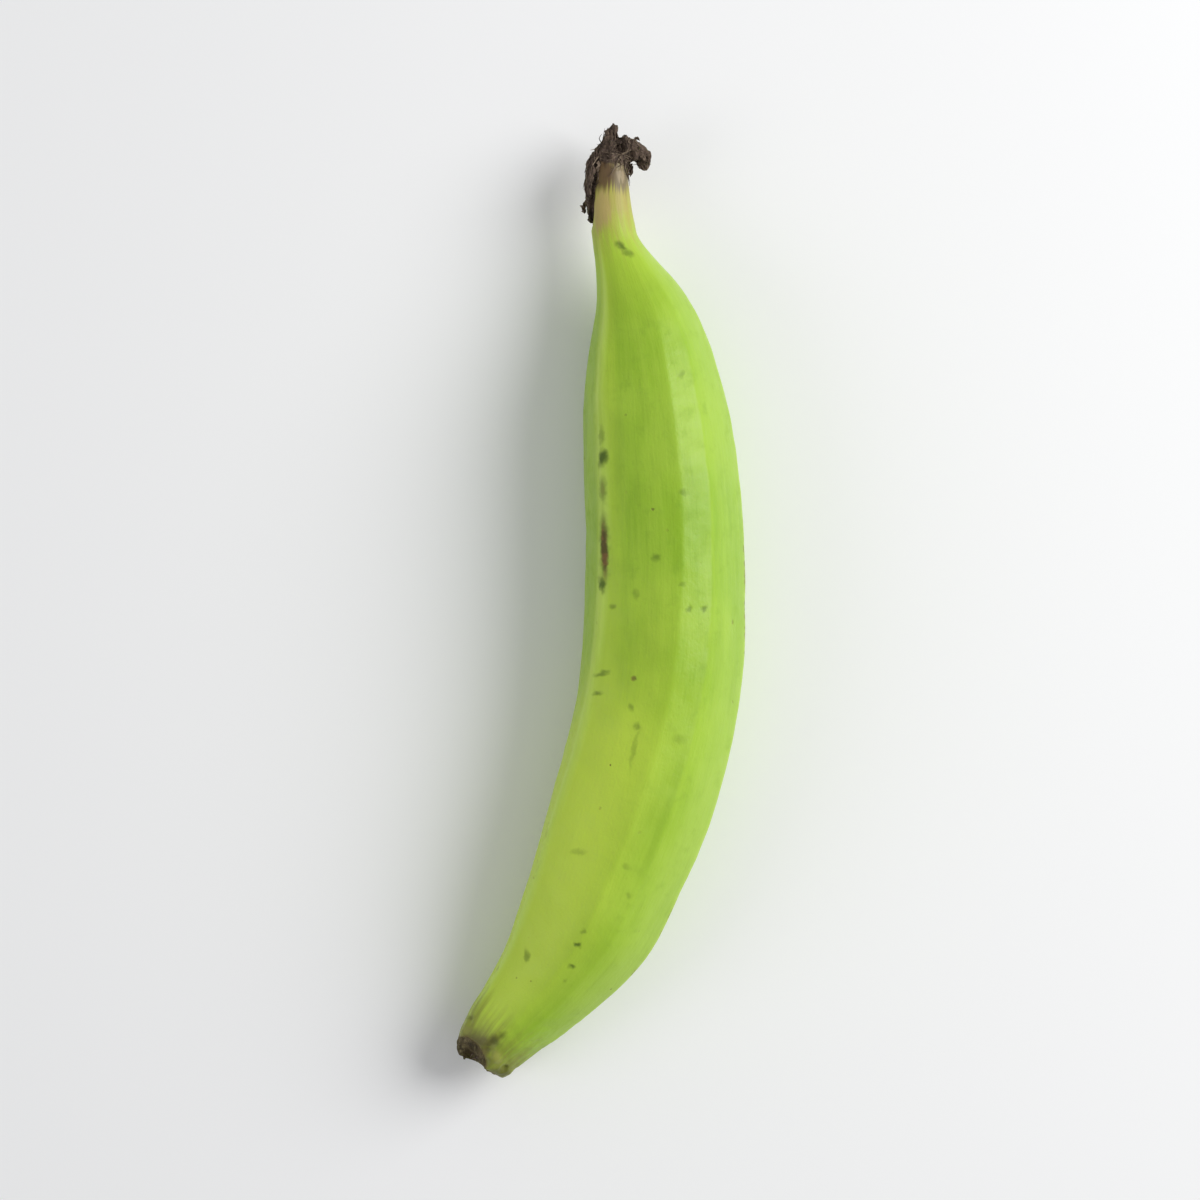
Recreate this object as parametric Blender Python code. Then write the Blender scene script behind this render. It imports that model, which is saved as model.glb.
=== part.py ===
"""A green plantain, as picked, lying on its side: one curved, ridged fruit.

Metres, +Z up. The origin is on the surface, under the middle of the fruit's bounding box. The dried
stem end points along +Y and the blunt tip bends towards -X.
"""

import math

import bmesh
import bpy
from mathutils import Vector, noise

MM = 0.001

# The fruit seen from above, from the root of the stem end to the tip, in millimetres: where its left
# and right edges lie across from each other, and how high its middle runs above the surface.
OUTLINE = (
    (-1.7, 137.5, 8.8, 137.5, 18.0),
    (-2.4, 131.0, 9.0, 131.0, 18.2),
    (-2.8, 117.0, 11.0, 118.8, 19.2),
    (-1.8, 108.8, 12.3, 112.6, 19.8),
    (-1.0, 99.5, 18.4, 105.4, 20.4),
    (-1.4, 89.5, 25.9, 96.6, 20.9),
    (-3.2, 78.2, 32.8, 84.2, 21.3),
    (-5.0, 65.0, 38.0, 69.2, 21.6),
    (-5.0, 46.0, 42.6, 47.5, 22.0),
    (-4.4, 16.0, 45.3, 16.0, 22.4),
    (-5.5, -16.8, 45.2, -20.2, 22.5),
    (-8.4, -37.0, 41.4, -45.6, 22.4),
    (-13.5, -56.8, 34.4, -70.6, 22.1),
    (-19.6, -78.0, 24.9, -93.0, 21.4),
    (-25.2, -96.8, 13.8, -113.4, 19.8),
    (-30.6, -111.6, -1.6, -128.6, 17.8),
    (-35.8, -120.8, -11.8, -137.0, 16.4),
    (-41.0, -129.4, -19.8, -142.8, 15.2),
    (-44.6, -137.6, -26.6, -147.4, 14.4),
)
DEPTH_SHARE = 0.93
RING_SPACING_MM = 4.2

# The ridges round the peel: which way each one lies from the middle, from +X towards +Z in degrees, and
# how far out it reaches, as a share of the half width.
RIDGES = (
    (6.0, 1.02),
    (57.0, 1.00),
    (81.0, 0.99),
    (141.0, 1.04),
    (200.0, 1.00),
    (246.0, 0.99),
    (294.0, 0.99),
    (332.0, 1.00),
)
SIDE_STEPS = 5  # points from one ridge to the next
BELLY_FULLNESS = 0.42  # how round the sides between ridges are: 0 is flat, 1 is part of a circle
NECK_FULLNESS = 0.85
TIP_FULLNESS = 0.60
NECK_END, BELLY_START, BELLY_END = 0.06, 0.26, 0.82  # places along the fruit, as shares of its length
STEM_TWIST_DEG = -5.0  # how far the ridges are turned round the fruit from the stem to its middle
TIP_TWIST_DEG = 9.0  # and how far they turn the other way from the middle to the tip

# The blunt tip, past the last line of the outline: the size of each ring as a share of that line, how
# far it stands past it in millimetres, and how uneven it is.
TIP_RINGS = (
    (0.975, 1.6, 0.00),
    (0.90, 3.1, 0.02),
    (0.79, 4.3, 0.04),
    (0.66, 4.9, 0.09),
    (0.53, 3.6, 0.13),
    (0.38, 2.0, 0.16),
    (0.20, 1.9, 0.10),
    (0.08, 2.9, 0.02),
)
TIP_LOBES = 5
DRIED_TIP_RINGS = 6

# The dried, torn stem end, in millimetres. Each piece is a bent rod: its middle, and its half size
# across and upright.
TORN_PIECES = {
    "stub": (
        (3.6, 129.0, 18.3, 2.6, 2.6),
        (3.5, 134.0, 18.3, 5.0, 4.8),
        (3.9, 138.5, 18.5, 6.0, 5.6),
        (4.9, 141.8, 18.8, 4.9, 4.4),
        (5.6, 144.6, 19.0, 1.9, 1.9),
    ),
    "peak": (
        (3.0, 135.0, 18.6, 4.2, 4.4),
        (3.3, 140.0, 19.0, 4.8, 4.2),
        (3.8, 144.0, 19.8, 3.2, 2.6),
        (4.1, 147.0, 20.4, 2.0, 1.5),
        (4.4, 149.4, 20.8, 0.7, 0.6),
    ),
    "shard": (
        (5.6, 136.5, 19.4, 3.4, 3.4),
        (7.4, 141.0, 20.4, 3.2, 2.6),
        (8.8, 145.2, 21.2, 1.2, 0.9),
    ),
    "side_lobe": (
        (5.0, 138.4, 18.4, 4.0, 4.2),
        (9.0, 140.2, 18.4, 4.6, 4.2),
        (12.2, 139.4, 17.6, 4.4, 3.6),
        (14.0, 136.6, 16.8, 3.2, 2.8),
        (13.4, 134.2, 16.4, 1.2, 1.4),
    ),
    "side_strip": (
        (1.4, 141.4, 18.6, 2.2, 3.2),
        (-1.6, 137.4, 18.4, 2.6, 4.6),
        (-3.0, 131.4, 18.2, 2.1, 4.8),
        (-3.6, 124.6, 18.6, 1.6, 3.8),
        (-3.0, 117.6, 19.4, 0.7, 1.6),
    ),
    "low_flap": (
        (3.6, 133.0, 15.6, 3.4, 2.6),
        (2.6, 138.0, 13.9, 3.4, 1.9),
        (1.0, 142.4, 13.0, 1.6, 0.9),
    ),
}
DRIED_SIDES = 14
DRIED_SPACING_MM = 1.4
DRIED_ROUGHNESS_MM = 1.1
DRIED_GRAIN_MM = 2.6

PEEL_COLOUR = (0.36, 0.52, 0.08, 1.0)
DRIED_COLOUR = (0.07, 0.045, 0.03, 1.0)


def clear_scene():
    for old in list(bpy.data.objects):
        bpy.data.objects.remove(old)


def new_collection(name):
    collection = bpy.data.collections.new(name)
    bpy.context.scene.collection.children.link(collection)
    return collection


def new_material(name, colour, roughness):
    material = bpy.data.materials.new(name)
    material.use_nodes = True
    shader = material.node_tree.nodes["Principled BSDF"]
    shader.inputs["Base Color"].default_value = colour
    shader.inputs["Roughness"].default_value = roughness
    shader.inputs["Metallic"].default_value = 0.0
    return material


def slopes(rows, places):
    """The slope of a smooth curve at each row, from the rows on either side of it."""
    last = len(rows) - 1
    found = []
    for i in range(len(rows)):
        before, after = max(i - 1, 0), min(i + 1, last)
        run = places[after] - places[before]
        found.append([(b - a) / run for a, b in zip(rows[before], rows[after])])
    return found


def smooth_rows(rows, middle, spacing):
    """Rows read evenly off one smooth curve through the given rows. middle gives a row's place."""
    places = [0.0]
    for a, b in zip(rows, rows[1:]):
        places.append(places[-1] + (middle(b) - middle(a)).length)
    slope = slopes(rows, places)
    count = round(places[-1] / spacing)
    sampled = []
    for step in range(count + 1):
        place = places[-1] * step / count
        i = max(k for k in range(len(rows) - 1) if places[k] <= place + 1e-9)
        run = places[i + 1] - places[i]
        t = (place - places[i]) / run
        start, end = 2 * t**3 - 3 * t**2 + 1, 3 * t**2 - 2 * t**3
        leave, arrive = (t**3 - 2 * t**2 + t) * run, (t**3 - t**2) * run
        sampled.append([
            start * rows[i][k] + end * rows[i + 1][k] + leave * slope[i][k] + arrive * slope[i + 1][k]
            for k in range(len(rows[0]))
        ])
    return sampled


def section(fullness, twist):
    """The peel's section as (across, up) pairs, which fill -1 to 1 both ways."""
    ring = []
    for i, (start, start_reach) in enumerate(RIDGES):
        end, end_reach = RIDGES[(i + 1) % len(RIDGES)]
        if end < start:
            end += 360.0
        for step in range(SIDE_STEPS):
            t = step / SIDE_STEPS
            here = start_reach * (1 - t) + end_reach * t
            flat = polar(start_reach, start + twist) * (1 - t) + polar(end_reach, end + twist) * t
            ring.append(flat.lerp(polar(here, start * (1 - t) + end * t + twist), fullness))
    across, up = [p.x for p in ring], [p.y for p in ring]
    mid = Vector((max(across) + min(across), max(up) + min(up))) / 2
    half = Vector((max(across) - min(across), max(up) - min(up))) / 2
    return [((p.x - mid.x) / half.x, (p.y - mid.y) / half.y) for p in ring]


def polar(reach, degrees):
    return Vector((reach * math.cos(math.radians(degrees)), reach * math.sin(math.radians(degrees))))


def ease(value, start, end):
    """0 before start, 1 after end, and smooth between."""
    t = min(1.0, max(0.0, (value - start) / (end - start)))
    return 3 * t**2 - 2 * t**3


def fullness_at(along):
    """Nearly round at the neck, ridged round the belly, and softer again towards the tip."""
    belly = ease(along, NECK_END, BELLY_START)
    tip = ease(along, BELLY_END, 1.0)
    return (NECK_FULLNESS + (BELLY_FULLNESS - NECK_FULLNESS) * belly) * (1 - tip) + TIP_FULLNESS * tip


def peel_rings():
    """Closed rings along the fruit from stem to tip. The belly is level where it meets the surface."""
    def middle(row):
        return Vector(((row[0] + row[2]) / 2, (row[1] + row[3]) / 2, row[4]))

    rows = smooth_rows(OUTLINE, middle, RING_SPACING_MM)
    rings = []
    for i, row in enumerate(rows):
        along = i / (len(rows) - 1)
        left, right = Vector((row[0], row[1], 0)), Vector((row[2], row[3], 0))
        across = (right - left) / 2
        depth = across.length * DEPTH_SHARE
        twist = STEM_TWIST_DEG * (1 - ease(along, 0.35, 0.65)) + TIP_TWIST_DEG * ease(along, 0.4, 1.0)
        ring = []
        for x, z in section(fullness_at(along), twist):
            point = middle(row) + across * x + Vector((0, 0, depth * z))
            point.z = max(point.z, 0.0)
            ring.append(point * MM)
        rings.append(ring)
    return rings


def tip_rings(last):
    """Rings that close the fruit: a blunt shoulder, then an uneven hollow with a small knob in it."""
    centre = sum(last, Vector()) / len(last)
    right, left = last[0], last[len(last) // 2]
    outward = (right - left).cross(Vector((0, 0, 1)))
    outward.z = 0.0
    outward.normalize()
    rings = []
    for size, past, uneven in TIP_RINGS:
        ring = []
        for side, point in enumerate(last):
            angle = math.tau * side / len(last)
            wave = math.cos(TIP_LOBES * angle) + 0.6 * math.cos(2 * angle + 1.0)
            reach = size * (1 + uneven * wave)
            lift = past * (1 + uneven * math.sin(3 * angle))
            ring.append(centre + (point - centre) * reach + outward * lift * MM)
        rings.append(ring)
    return rings


def rod_rings(rows, seed):
    """Rough rings along a bent rod of dried stem tissue."""
    def middle(row):
        return Vector(row[:3])

    rows = smooth_rows(rows, middle, DRIED_SPACING_MM)
    rings = []
    for i, row in enumerate(rows):
        ahead = middle(rows[min(i + 1, len(rows) - 1)]) - middle(rows[max(i - 1, 0)])
        across = ahead.cross(Vector((0, 0, 1))).normalized()
        upright = across.cross(ahead).normalized()
        ring = []
        for side in range(DRIED_SIDES):
            angle = -math.tau * side / DRIED_SIDES
            out = across * math.cos(angle) * row[3] + upright * math.sin(angle) * row[4]
            point = middle(row) + out
            grain = noise.noise(point / DRIED_GRAIN_MM + Vector((seed, 0, 0)))
            ring.append((point + out.normalized() * grain * DRIED_ROUGHNESS_MM) * MM)
        rings.append(ring)
    return rings


def loft(name, rings, materials, collection, dried_rings=0):
    """A closed body through like rings, its last dried_rings in the second material."""
    bm = bmesh.new()
    loops = [[bm.verts.new(point) for point in ring] for ring in rings]
    sides = len(loops[0])
    first_dried = len(loops) - dried_rings
    for i, (near, far) in enumerate(zip(loops, loops[1:])):
        for side in range(sides):
            beside = (side + 1) % sides
            face = bm.faces.new((near[side], far[side], far[beside], near[beside]))
            face.material_index = int(i + 1 >= first_dried and dried_rings > 0)
    for ends in (loops[0], loops[-1]):
        cap = bm.faces.new(ends)
        cap.material_index = int(ends is loops[-1] and dried_rings > 0)
        bmesh.ops.poke(bm, faces=[cap])
    bmesh.ops.recalc_face_normals(bm, faces=bm.faces)
    mesh = bpy.data.meshes.new(name)
    bm.to_mesh(mesh)
    bm.free()
    for material in materials:
        mesh.materials.append(material)
    mesh.shade_smooth()
    body = bpy.data.objects.new(name, mesh)
    collection.objects.link(body)
    return body


def join_into(body, pieces):
    """Fuses the collection's pieces into the body and removes them."""
    union = body.modifiers.new("torn_stem_end", "BOOLEAN")
    union.operation = "UNION"
    union.solver = "EXACT"
    union.operand_type = "COLLECTION"
    union.collection = pieces
    union.material_mode = "TRANSFER"
    bpy.context.view_layer.objects.active = body
    bpy.ops.object.modifier_apply(modifier=union.name)
    for piece in list(pieces.objects):
        bpy.data.objects.remove(piece)
    bpy.data.collections.remove(pieces)


def centre_over_origin(body):
    """Moves the mesh so that the origin is under the middle of its bounding box."""
    bm = bmesh.new()
    bm.from_mesh(body.data)
    low = Vector([min(v.co[k] for v in bm.verts) for k in range(3)])
    high = Vector([max(v.co[k] for v in bm.verts) for k in range(3)])
    middle = (low + high) / 2
    bmesh.ops.translate(bm, verts=bm.verts, vec=(-middle.x, -middle.y, 0.0))
    bm.to_mesh(body.data)
    bm.free()


def main():
    clear_scene()
    plantain = new_collection("plantain_fruit")
    torn = new_collection("torn_stem_pieces")
    peel = new_material("green_peel", PEEL_COLOUR, 0.45)
    dried = new_material("dried_tissue", DRIED_COLOUR, 0.9)

    rings = peel_rings()
    rings += tip_rings(rings[-1])
    body = loft("plantain", rings, [peel, dried], plantain, DRIED_TIP_RINGS)
    for seed, (name, rows) in enumerate(TORN_PIECES.items()):
        loft(name, rod_rings(rows, 7.3 * seed), [dried], torn)
    join_into(body, torn)
    centre_over_origin(body)


main()
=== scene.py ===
"""The looks of one green plantain, laid on its side: its peel, its torn, dried stem end and its blunt tip."""

import math
import random

import bmesh
import bpy
import numpy as np
from bpy.props import FloatProperty, FloatVectorProperty, IntProperty, PointerProperty
from mathutils import Matrix, Vector
from mathutils.bvhtree import BVHTree


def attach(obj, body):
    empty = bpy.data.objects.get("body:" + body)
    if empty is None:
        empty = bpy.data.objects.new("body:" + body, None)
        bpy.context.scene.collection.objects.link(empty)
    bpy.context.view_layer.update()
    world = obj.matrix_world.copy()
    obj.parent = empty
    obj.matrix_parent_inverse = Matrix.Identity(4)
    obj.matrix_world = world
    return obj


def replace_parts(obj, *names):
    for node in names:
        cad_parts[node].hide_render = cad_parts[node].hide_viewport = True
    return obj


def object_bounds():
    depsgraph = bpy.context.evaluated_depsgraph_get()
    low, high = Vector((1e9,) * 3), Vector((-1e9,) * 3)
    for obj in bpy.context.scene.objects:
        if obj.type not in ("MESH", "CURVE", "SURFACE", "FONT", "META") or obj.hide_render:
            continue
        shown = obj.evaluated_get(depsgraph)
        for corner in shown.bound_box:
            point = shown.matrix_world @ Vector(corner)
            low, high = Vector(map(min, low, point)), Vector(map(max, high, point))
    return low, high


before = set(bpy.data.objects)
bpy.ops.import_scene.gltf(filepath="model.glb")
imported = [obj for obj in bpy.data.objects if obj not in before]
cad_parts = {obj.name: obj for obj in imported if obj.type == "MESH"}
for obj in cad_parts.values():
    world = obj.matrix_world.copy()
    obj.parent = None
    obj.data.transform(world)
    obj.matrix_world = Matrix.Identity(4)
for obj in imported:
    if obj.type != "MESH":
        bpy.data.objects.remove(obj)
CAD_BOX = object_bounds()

bl_info = {
    "name": "Green plantain",
    "version": (1, 0, 0),
    "blender": (4, 5, 0),
    "location": "3D View > Sidebar > Plantain",
    "description": "Builds the peel, the dried stem end, the tip and the stage of one green plantain",
    "category": "Object",
}

MM = 0.001
NODE = "plantain"
BODY = "root"

# The middle of the fruit from the root of the stem end to the tip, in millimetres: x, y, height.
MIDLINE_MM = (
    (3.4, 138.0, 18.0), (3.9, 118.4, 19.2), (8.5, 103.0, 20.4), (14.6, 81.7, 21.3), (18.6, 47.2, 22.0),
    (20.3, 16.5, 22.4), (19.7, -18.0, 22.5), (16.3, -40.8, 22.4), (10.3, -63.2, 22.1), (2.5, -85.0, 21.4),
    (-5.9, -104.6, 19.8), (-16.3, -119.6, 17.8), (-24.0, -128.4, 16.4), (-30.6, -135.6, 15.2),
    (-35.8, -142.0, 14.4),
)
PATTERN_RADIUS_MM = 20.0
PATTERN_STEP_MM = 0.5
ABOVE_FRUIT = 0.1
JOIN_GAP = 0.00001
# Where the ridges begin and end along the fruit, and how high the flat spot under it reaches.
RIDGES_FROM_Y, RIDGES_TO_Y = -0.140, 0.128
FLAT_SPOT_TOP = 0.0006
# Between which angles in degrees an edge becomes a ridge, and how far that holds it against the smoothing.
RIDGE_ANGLES = (11.0, 20.0)
RIDGE_HOLD = 0.35
# How strongly the ridges at the left, on top and low at the right are drawn: paler partly from wear and partly as a
# painted highlight, and scuffed.
LEFT_WEAR_AND_SHEEN, TOP_WEAR_AND_SHEEN, LOW_WEAR_AND_SHEEN = 1.0, 0.25, 0.55
TIP_DIVIDED_TO_Y = -0.129
# The size of the grain of the torn end: across, along, high.
TORN_GRAIN_SIZE = (0.0008, 0.0050, 0.0008)

# The dried tissue outside the head itself, each a bent rod in millimetres: x, y, height, half width, half height.
DRIED_RODS_MM = (
    ((-0.6, 141.8, 18.6, 3.4, 4.6), (-2.8, 137.0, 18.4, 3.4, 5.8), (-3.6, 131.9, 18.2, 2.9, 6.0),
     (-4.0, 125.1, 18.6, 2.5, 5.2), (-3.4, 118.1, 19.4, 1.7, 2.6)),
    ((8.8, 140.7, 18.4, 5.4, 5.0), (12.0, 139.9, 17.6, 5.0, 4.4), (13.9, 137.1, 16.8, 4.0, 3.6),
     (13.4, 134.7, 16.4, 2.6, 2.8)),
    ((3.4, 135.0, 14.4, 3.8, 2.6), (2.4, 138.5, 13.9, 3.8, 2.4), (0.8, 142.9, 13.0, 2.4, 1.8)),
)

# The hollow in the tip: its middle in millimetres, and the way that it faces.
TIP_MIDDLE_MM = (-36.8, -144.2, 14.4)
TIP_FACING = (-0.478, -0.878, 0.0)
# The brown end face beside it, from above: its middle, half sizes and turn in degrees.
TIP_FACE_MM = (-40.6, -142.6, 4.3, 7.0, 33)

# Soft dents pressed into the peel from above, in millimetres: x, y, how far round they reach, and the move.
TIP_DENTS_MM = (
    (-41.0, -142.4, 5.6, (0.2, 0.2, -3.4)), (-39.6, -145.8, 3.6, (-0.9, -1.5, 0.0)),
    (-39.0, -139.8, 3.0, (0.2, 0.2, -1.0)), (-30.8, -136.0, 2.2, (0.0, 0.0, -0.6)),
    (-33.4, -138.2, 2.2, (0.0, 0.0, -0.8)), (-35.2, -140.6, 2.6, (0.0, 0.3, -1.2)),
    (-36.2, -144.6, 2.4, (0.2, 0.2, -1.1)), (-32.8, -143.2, 2.8, (0.0, 0.0, 0.9)),
    (-30.2, -146.6, 2.2, (0.4, 0.8, -1.2)), (-40.8, -131.0, 2.2, (0.5, 0.2, -0.5)),
)
HEAD_DENTS_MM = (
    (6.1, 141.4, 2.0, (0.0, 0.0, -3.2)), (1.4, 137.8, 2.0, (0.0, 0.0, -1.2)), (9.6, 138.6, 1.8, (0.0, 0.3, -1.4)),
    (3.4, 143.4, 1.8, (-0.3, 0.0, 0.9)), (8.0, 143.4, 1.6, (0.2, 0.3, 0.9)), (12.6, 141.2, 1.8, (0.3, 0.2, 0.6)),
    (4.4, 135.4, 1.6, (0.0, 0.0, 0.6)),
)


def put_in_scene(item):
    bpy.context.scene.collection.objects.link(item)
    return item


def leave_edit():
    bpy.ops.object.mode_set(mode="OBJECT")


def deselect_all():
    if bpy.context.object and bpy.context.object.mode != "OBJECT":
        leave_edit()
    bpy.ops.object.select_all(action="DESELECT")


def activate(piece):
    deselect_all()
    bpy.context.view_layer.objects.active = piece
    piece.select_set(True)


def edit_all(piece):
    activate(piece)
    bpy.ops.object.mode_set(mode="EDIT")
    bpy.ops.mesh.select_all(action="SELECT")


def select_only(piece, kind, wanted):
    """In edit mode, selects those of the piece's verts or faces that are wanted."""
    bpy.ops.mesh.select_all(action="DESELECT")
    bm = bmesh.from_edit_mesh(piece.data)
    for item in getattr(bm, kind):
        if wanted(item):
            item.select_set(True)
    bmesh.update_edit_mesh(piece.data)


def apply_modifier(piece, kind, name, **settings):
    """Adds a modifier with those settings and applies it."""
    activate(piece)
    modifier = piece.modifiers.new(name, kind)
    for key, value in settings.items():
        setattr(modifier, key, value)
    bpy.ops.object.modifier_apply(modifier=modifier.name)


def points_of(mesh):
    flat = np.zeros(len(mesh.vertices) * 3, np.float32)
    mesh.vertices.foreach_get("co", flat)
    return flat.reshape(-1, 3).astype(float)


def surface_of(piece):
    """The piece's faces, to be searched for the nearest place or from above."""
    mesh = piece.data
    return BVHTree.FromPolygons([v.co[:] for v in mesh.vertices], [p.vertices[:] for p in mesh.polygons])


def ease(value, start, end):
    """0 before start, 1 after end, and smooth between."""
    t = np.clip((value - start) / (end - start), 0, 1)
    return t * t * (3 - 2 * t)


def set_attribute(mesh, name, kind, values):
    old = mesh.attributes.get(name)
    if old:
        mesh.attributes.remove(old)
    attribute = mesh.attributes.new(name, kind, "POINT")
    attribute.data.foreach_set("vector" if kind == "FLOAT_VECTOR" else "value", values.astype(np.float32).ravel())


def smooth_line(points, step):
    """Points every step along a smooth line through the given ones."""
    points = np.array(points, float)
    places = np.concatenate([[0], np.cumsum(np.linalg.norm(np.diff(points[:, :3], axis=0), axis=1))])
    slopes = np.gradient(points, places, axis=0)
    wanted = np.arange(0, places[-1] + step / 2, step).clip(0, places[-1])
    i = np.clip(np.searchsorted(places, wanted, side="right") - 1, 0, len(points) - 2)
    run = (places[i + 1] - places[i])[:, None]
    t = (wanted - places[i])[:, None] / run
    return (
        (2 * t**3 - 3 * t**2 + 1) * points[i]
        + (3 * t**2 - 2 * t**3) * points[i + 1]
        + (t**3 - 2 * t**2 + t) * run * slopes[i]
        + (t**3 - t**2) * run * slopes[i + 1]
    )


def straightened(points):
    """Each point's place on the fruit as if it were a straight rod: round it, and along it from the stem."""
    line = smooth_line(MIDLINE_MM, PATTERN_STEP_MM) * MM
    ahead = np.gradient(line[:, :2], axis=0)
    ahead /= np.linalg.norm(ahead, axis=1)[:, None]
    nearest = np.zeros(len(points), int)
    for start in range(0, len(points), 8000):
        part = points[start : start + 8000, None, :2] - line[None, :, :2]
        nearest[start : start + 8000] = (part**2).sum(2).argmin(1)
    away = points[:, :2] - line[nearest, :2]
    direction = ahead[nearest]
    side = away[:, 1] * direction[:, 0] - away[:, 0] * direction[:, 1]
    over = (away * direction).sum(1)
    up = points[:, 2] - line[nearest, 2]
    along = nearest * PATTERN_STEP_MM * MM + over
    angle = np.arctan2(up, side)
    reach = PATTERN_RADIUS_MM * MM
    return np.stack([np.cos(angle) * reach, along, np.sin(angle) * reach], 1)


class Recipe:
    """Builds one material's nodes."""

    def __init__(self, name):
        self.material = bpy.data.materials.new(name)
        self.material.use_nodes = True
        self.tree = self.material.node_tree
        self.shader = self.tree.nodes["Principled BSDF"]
        self.place = self.add("ShaderNodeTexCoord").outputs["Object"]

    def add(self, kind, inputs=(), **settings):
        """A node with those settings, and with values or links for its inputs, by name or by number."""
        node = self.tree.nodes.new(kind)
        for key, value in settings.items():
            setattr(node, key, value)
        for key, value in dict(inputs).items():
            self.give(node.inputs[key], value)
        return node

    def give(self, socket, value):
        if isinstance(value, bpy.types.NodeSocket):
            self.tree.links.new(value, socket)
        else:
            socket.default_value = value

    def calc(self, operation, *values, clamp=False):
        return self.add("ShaderNodeMath", enumerate(values), operation=operation, use_clamp=clamp).outputs[0]

    def times(self, first, second):
        return self.calc("MULTIPLY", first, second)

    def larger(self, first, second):
        return self.calc("MAXIMUM", first, second)

    def vector(self, operation, *values):
        node = self.add("ShaderNodeVectorMath", enumerate(values), operation=operation)
        return node.outputs["Value" if operation == "LENGTH" else "Vector"]

    def spread(self, value, low, high, to_low=0.0, to_high=1.0):
        """value from low to high as to_low to to_high, eased at both ends."""
        ends = enumerate((value, low, high, to_low, to_high))
        return self.add("ShaderNodeMapRange", ends, interpolation_type="SMOOTHSTEP").outputs["Result"]

    def mix(self, factor, first, second, blend="MIX"):
        inputs = {"Factor": factor, 6: first, 7: second}
        return self.add("ShaderNodeMix", inputs, data_type="RGBA", blend_type=blend).outputs[2]

    def noise(self, place, scale, detail=3.0, roughness=0.55):
        inputs = {"Vector": place, "Scale": scale, "Detail": detail, "Roughness": roughness}
        return self.add("ShaderNodeTexNoise", inputs).outputs["Fac"]

    def cells(self, place, scale):
        """The distance to the nearest of scattered points, and that point's own random colour."""
        node = self.add("ShaderNodeTexVoronoi", {"Vector": place, "Scale": scale})
        return node.outputs["Distance"], node.outputs["Color"]

    def attribute(self, name, output):
        return self.add("ShaderNodeAttribute", attribute_name=name).outputs[output]

    def bump(self, height, distance, strength=1.0, under=None):
        inputs = {"Height": height, "Distance": distance, "Strength": strength}
        if under is not None:
            inputs["Normal"] = under
        return self.add("ShaderNodeBump", inputs).outputs["Normal"]


def colour_setting(name, description, default):
    return FloatVectorProperty(name=name, description=description, subtype="COLOR", size=4, default=(*default, 1))


# Marks on the peel as seen from above, in millimetres: x, y, half across, half along, turn in degrees, strength.
RIDGE_SCAR = (
    (0.8, 34.5, 0.8, 3.0, 2, 0.25), (1.3, 15.8, 1.3, 10.2, 2, 0.9),
)
# Stains: their colour, then their marks.
DARK_OLIVE = (0.068, 0.125, 0.007, 1)
OLIVE_STAINS = (
    (0.4, 51.0, 1.0, 3.4, 0, 0.4), (0.7, 43.8, 1.7, 3.2, -4, 0.95), (0.9, 33.8, 1.5, 4.6, 2, 0.5),
    (1.2, 16.0, 1.9, 13.0, 2, 0.6), (0.6, 4.8, 1.3, 2.8, 8, 0.9), (17.2, 13.0, 1.6, 1.5, 0, 0.55),
    (25.6, 33.3, 1.6, 1.2, 0, 0.4), (27.2, -2.8, 0.9, 1.4, 0, 0.5), (31.6, -2.8, 1.2, 1.5, 0, 0.6),
    (3.8, -1.8, 1.4, 1.2, 0, 0.5), (25.2, 4.6, 1.2, 0.9, 0, 0.35), (10.8, 1.6, 1.2, 2.0, 0, 0.35),
    (9.6, -32.8, 1.1, 1.6, 0, 0.45), (11.1, -38.8, 1.2, 1.2, 0, 0.45), (6.6, 110.0, 2.8, 1.3, -34, 0.8),
    (9.0, 108.0, 2.0, 1.0, -20, 0.55), (0.1, -22.8, 3.2, 1.0, 8, 0.6), (-0.9, -28.6, 2.0, 0.8, 5, 0.6),
    (10.6, -46.0, 0.8, 7.5, -12, 0.3), (25.0, 70.0, 1.2, 1.6, 0, 0.35), (24.4, -43.0, 2.6, 1.6, 0, 0.2),
    (-6.6, -77.8, 2.6, 1.1, 0, 0.28), (8.0, -82.2, 1.2, 1.0, 0, 0.25), (8.4, -91.0, 1.0, 1.2, 0, 0.3),
    (-6.9, -106.6, 1.4, 1.0, 0, 0.85), (-8.6, -113.2, 1.3, 1.1, 0, 0.75), (-22.6, -110.4, 0.9, 2.0, 0, 0.55),
    (-5.4, -102.4, 1.2, 1.0, 0, 0.45), (-11.0, -118.0, 0.8, 0.8, 0, 0.3),
)
# Stains on the neck, each a colour and its marks; the pale cream spot among them is a painted highlight.
NECK_STAINS_AND_HIGHLIGHT = (
    ((0.46, 0.35, 0.13, 1), ((0.6, 121.6, 3.6, 7.4, 0, 0.85), (6.4, 124.6, 3.0, 5.0, 0, 0.35))),
    ((0.20, 0.155, 0.09, 1), ((6.6, 132.6, 5.4, 5.6, 0, 0.9),)),
    # Painted highlight: a pale cream spot on top of the neck.
    ((0.42, 0.33, 0.20, 1), ((6.6, 132.8, 1.6, 2.4, 0, 0.6),)),
    ((0.12, 0.07, 0.032, 1), (
        (0.8, 133.4, 4.2, 6.4, 6, 0.9), (11.0, 136.8, 2.0, 3.0, 0, 0.75), (-2.6, 127.0, 2.0, 6.4, 4, 0.5),
    )),
)
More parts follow.
